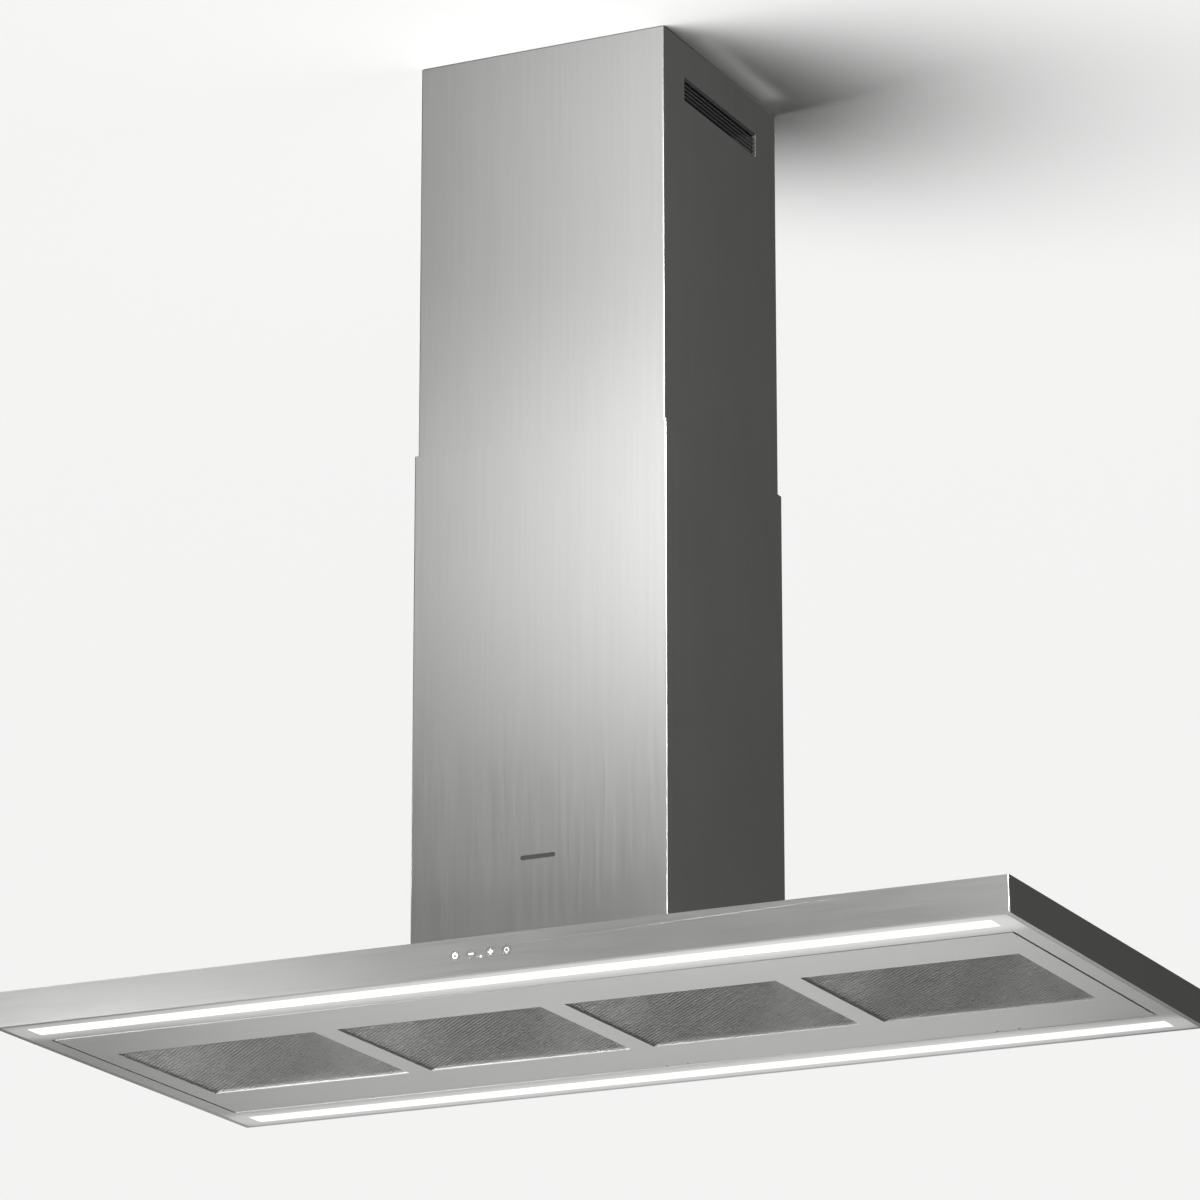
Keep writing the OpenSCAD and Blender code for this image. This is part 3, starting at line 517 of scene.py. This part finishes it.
def make_materials():
    """One finished material for each of the record's slots."""
    colours = {m["slot"]: tuple(m["base_color"]) for m in frame["record"]["materials"]}
    strip_low, strip_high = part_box("light_diffuser_back")
    strips = {
        "middle": (strip_low.y + strip_high.y) / 2,
        "half_width": (strip_high.y - strip_low.y) / 2,
        "half_length": (strip_high.x - strip_low.x) / 2,
    }
    x, y, z = 0, 1, 2
    underside = brushed_steel("underside_steel", colours["underside_steel"], 0.38, x, y, strips=strips)
    return {
        "flue_steel": brushed_steel("flue_steel", colours["flue_steel"], 0.33, z),
        "canopy_steel": brushed_steel("canopy_steel", colours["canopy_steel"], 0.34, x, y),
        "underside_steel": underside,
        "button_steel": brushed_steel("button_steel", colours["button_steel"], 0.34, x, y),
        "frame_zinc": zinc_plate("frame_zinc", colours["frame_zinc"], 0.34),
        "bolt_steel": zinc_plate("bolt_steel", colours["bolt_steel"], 0.4),
        "magnet_iron": zinc_plate("magnet_iron", colours["magnet_iron"], 0.3),
        "filter_frame_metal": brushed_steel("filter_frame_metal", colours["filter_frame_metal"], 0.42, x, y),
        "galvanised_sheet": galvanised_sheet("galvanised_sheet", colours["galvanised_sheet"]),
        "black_plastic": moulded_plastic("black_plastic", colours["black_plastic"], 0.55),
        "blower_plastic": moulded_plastic("blower_plastic", colours["blower_plastic"], 0.42),
        "grey_plastic": moulded_plastic("grey_plastic", colours["grey_plastic"], 0.5),
        "capacitor_case": gloss_plastic("capacitor_case", colours["capacitor_case"]),
        "duct_foil": crinkled_foil("duct_foil", colours["duct_foil"]),
        "filter_mesh_metal": expanded_metal("filter_mesh_metal", colours["filter_mesh_metal"]),
        "motor_metal": cast_metal("motor_metal", colours["motor_metal"]),
        "badge_metal": satin_paint("badge_metal", tint(colours["badge_metal"], 0.12)),
        "circuit_board": circuit_board("circuit_board", colours["circuit_board"]),
        "cable_sheath": cable_sheath("cable_sheath", colours["cable_sheath"]),
        "light_opal": opal_light("light_opal", colours["light_opal"], strips),
    }


# ---------------------------------------------------------------- CAD nodes

# Widths of the rounded edges in millimetres
EDGE_WIDTHS = {
    "frame_zinc": 0.5, "galvanised_sheet": 0.3, "filter_frame_metal": 0.3, "button_steel": 0.08,
    "black_plastic": 0.3, "grey_plastic": 0.8, "motor_metal": 0.8, "bolt_steel": 0.3,
    "badge_metal": 0.15, "capacitor_case": 0.5, "magnet_iron": 0.4, "light_opal": 0.1,
}
ROUND_FOLDS = ("flue_steel", "canopy_steel")    # round in the CAD already, so they get no width


def finish_cad_nodes(materials):
    """Every CAD node gets its slot's material, and rounded edges where a hand would feel them."""
    for node in frame["nodes"].values():
        slot = node.data.materials[0].name.split(".")[0]
        node.material_slots[0].link = "DATA"
        node.data.materials[0] = materials[slot]
        if slot in EDGE_WIDTHS or slot in ROUND_FOLDS:
            node.modifiers.new("weld", "WELD").merge_threshold = 0.002 * MM
        if slot not in EDGE_WIDTHS:
            continue
        bevel = node.modifiers.new("edges", "BEVEL")
        bevel.width = EDGE_WIDTHS[slot] * MM
        bevel.segments = 2
        bevel.limit_method = "ANGLE"
        bevel.angle_limit = math.radians(35)
        bevel.use_clamp_overlap = False
        bevel.loop_slide = False
        for face in node.data.polygons:
            face.use_smooth = True
        node.modifiers.new("normals", "WEIGHTED_NORMAL").keep_sharp = True


# ---------------------------------------------------------------- pieces built here

def new_piece(name, points, faces, material):
    mesh = bpy.data.meshes.new(name)
    mesh.from_pydata(points, [], faces)
    mesh.materials.append(material)
    piece = bpy.data.objects.new(name, mesh)
    bpy.context.scene.collection.objects.link(piece)
    return piece


def centre_of(node):
    low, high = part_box(node)
    return (low + high) / 2


def zigzag_strand(line, strand_w, strand_t, lean):
    """Points and faces of a flat strand that follows line, leaning sideways as expanded metal does."""
    points, faces = [], []
    for x, y, z in line:
        points += [
            (x, y - strand_w / 2, z), (x, y + strand_w / 2, z + lean),
            (x, y + strand_w / 2, z + lean + strand_t), (x, y - strand_w / 2, z + strand_t),
        ]
    for i in range(0, 4 * (len(line) - 1), 4):
        for k in range(4):
            n = (k + 1) % 4
            faces.append((i + k, i + n, i + 4 + n, i + 4 + k))
    return points, faces


def expanded_layer(width, depth, z, cell_w, cell_d, strand, rng):
    """One sheet of expanded metal: zigzag strands side by side that meet at their peaks."""
    points, faces = [], []
    columns = round(width / (cell_w / 2))
    rows = int(depth / cell_d)
    step = width / columns
    for row in range(rows):
        y = (row + 0.5) * depth / rows - depth / 2
        line = []
        for column in range(columns + 1):
            side = 1 if (column + row) % 2 else -1
            sway = rng.uniform(-0.5, 0.5) * MM
            rise = rng.uniform(-0.15, 0.15) * MM
            line.append((column * step - width / 2, y + side * cell_d * 0.42 + sway, z + rise))
        new_points, new_faces = zigzag_strand(line, strand, 0.4 * MM, 0.35 * MM)
        faces += [tuple(i + len(points) for i in face) for face in new_faces]
        points += new_points
    return points, faces


def make_filter_packs(material):
    """Three layers of expanded metal in each grease filter. The middle layer runs across the others."""
    low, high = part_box("filter_mesh_1")
    width, depth = high.x - low.x, high.y - low.y
    cell_w, cell_d, strand = 7 * MM, 3.4 * MM, 1.2 * MM
    rng = random.Random(4)
    points, faces = [], []
    for height, crossed in ((0.25, False), (2.4, True), (4.6, False)):
        sides = (depth, width) if crossed else (width, depth)
        layer_points, layer_faces = expanded_layer(*sides, height * MM, cell_w, cell_d, strand, rng)
        if crossed:
            layer_points = [(y, x, z) for x, y, z in layer_points]
            layer_faces = [face[::-1] for face in layer_faces]
        faces += [tuple(i + len(points) for i in face) for face in layer_faces]
        points += layer_points
    for i in range(1, 5):
        node = f"filter_mesh_{i}"
        pack = new_piece(f"expanded_metal_{i}", points, faces, material)
        middle = centre_of(node)
        pack.location = (middle.x, middle.y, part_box(node)[0].z)
        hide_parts(node)
        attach(pack, f"filter_{i}")


def make_flexible_duct(material):
    """A spiral corrugated foil tube between the two clamps."""
    low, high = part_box("flexible_duct")
    middle = (low + high) / 2
    outer = (high.x - low.x) / 2
    wave, cuff = 3.6 * MM, 22 * MM
    coils, rings_per_coil, sides = 44, 6, 48
    rings = coils * rings_per_coil
    rng = random.Random(9)
    points, faces = [], []
    for ring in range(rings + 1):
        for side in range(sides):
            turn = side / sides
            z = low.z + (high.z - low.z) * ring / rings
            from_end = min(z - low.z, high.z - z) / cuff
            height = min(1.0, max(0.0, from_end - 1.0) * 2)
            phase = 2 * math.pi * (ring / rings_per_coil + turn)
            dent = rng.uniform(-0.25, 0.25) * MM * height
            radius = outer - wave + height * wave * (0.5 + 0.5 * math.sin(phase)) * 0.98 + dent
            angle = 2 * math.pi * turn
            points.append((middle.x + radius * math.cos(angle), middle.y + radius * math.sin(angle), z))
    for ring in range(rings):
        for side in range(sides):
            right = (side + 1) % sides
            base, above = ring * sides, (ring + 1) * sides
            faces.append((base + side, base + right, above + right, above + side))
    duct = new_piece("foil_duct", points, faces, material)
    for face in duct.data.polygons:
        face.use_smooth = True
    wall = duct.modifiers.new("wall", "SOLIDIFY")
    wall.thickness = 0.3 * MM
    wall.offset = -1
    apply_modifiers(duct)
    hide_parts("flexible_duct")
    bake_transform(duct)


def apply_modifiers(piece):
    """Makes the piece's modifiers part of its mesh."""
    graph = bpy.context.evaluated_depsgraph_get()
    mesh = bpy.data.meshes.new_from_object(piece.evaluated_get(graph))
    piece.modifiers.clear()
    piece.data = mesh


# Signs on the push buttons. A stroke is a closed outline in X and Z, in millimetres.
SIGN_SINK = 0.2 * MM
SIGN_PROUD = 0.08 * MM

def bar(width, height, x=0.0, z=0.0):
    return [(x - width / 2, z - height / 2), (x + width / 2, z - height / 2),
            (x + width / 2, z + height / 2), (x - width / 2, z + height / 2)]


def arc(radius, width, start, end, steps=28):
    """A curved stroke round the middle from start to end, in degrees."""
    angles = [math.radians(start + (end - start) * i / steps) for i in range(steps + 1)]
    outer = [((radius + width / 2) * math.cos(a), (radius + width / 2) * math.sin(a)) for a in angles]
    inner = [((radius - width / 2) * math.cos(a), (radius - width / 2) * math.sin(a)) for a in angles]
    return outer + inner[::-1]


def make_sign(name, button, strokes, material):
    """Thin inlays that stand a hair proud of the button's face."""
    face_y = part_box(button)[0].y
    middle = centre_of(button)
    form = bmesh.new()
    for stroke in strokes:
        outline = [(middle.x + x * MM, face_y + SIGN_SINK, middle.z + z * MM) for x, z in stroke]
        face = form.faces.new([form.verts.new(corner) for corner in outline])
        front = bmesh.ops.extrude_face_region(form, geom=[face])["geom"]
        moved = [v for v in front if isinstance(v, bmesh.types.BMVert)]
        bmesh.ops.translate(form, vec=(0, -SIGN_SINK - SIGN_PROUD, 0), verts=moved)
    bmesh.ops.recalc_face_normals(form, faces=form.faces)
    mesh = bpy.data.meshes.new(name)
    form.to_mesh(mesh)
    form.free()
    mesh.materials.append(material)
    sign = bpy.data.objects.new(name, mesh)
    bpy.context.scene.collection.objects.link(sign)
    edges = sign.modifiers.new("edges", "BEVEL")
    edges.width = 0.04 * MM
    edges.segments = 2
    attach(sign, button)


def make_signs():
    bright = lit_sign("lit_sign", 1.3)
    dim = lit_sign("dim_sign", 0.06)
    power = [arc(2.6, 1.0, 125, 415), bar(1.0, 3.2, 0, 2.1)]
    minus = [bar(5.6, 1.3)]
    plus = [bar(5.8, 1.3), bar(1.3, 2.25, 0, 1.775), bar(1.3, 2.25, 0, -1.775)]
    bulb = [arc(2.3, 0.5, -50, 230), bar(2.2, 0.5, 0, -2.4), bar(1.4, 0.5, 0, -3.3)]
    make_sign("power_sign", "power_button", power, bright)
    make_sign("slower_sign", "slower_button", minus, bright)
    make_sign("faster_sign", "faster_button", plus, bright)
    make_sign("light_sign", "light_button", bulb, dim)


# ---------------------------------------------------------------- assemble

make_camera()
make_world(WORLD_STRENGTH)
make_lights()
light_ceiling(make_ceiling())

materials = make_materials()
finish_cad_nodes(materials)
make_filter_packs(materials["filter_mesh_metal"])
make_flexible_duct(materials["duct_foil"])
make_signs()

bpy.context.scene.view_settings.view_transform = "Standard"
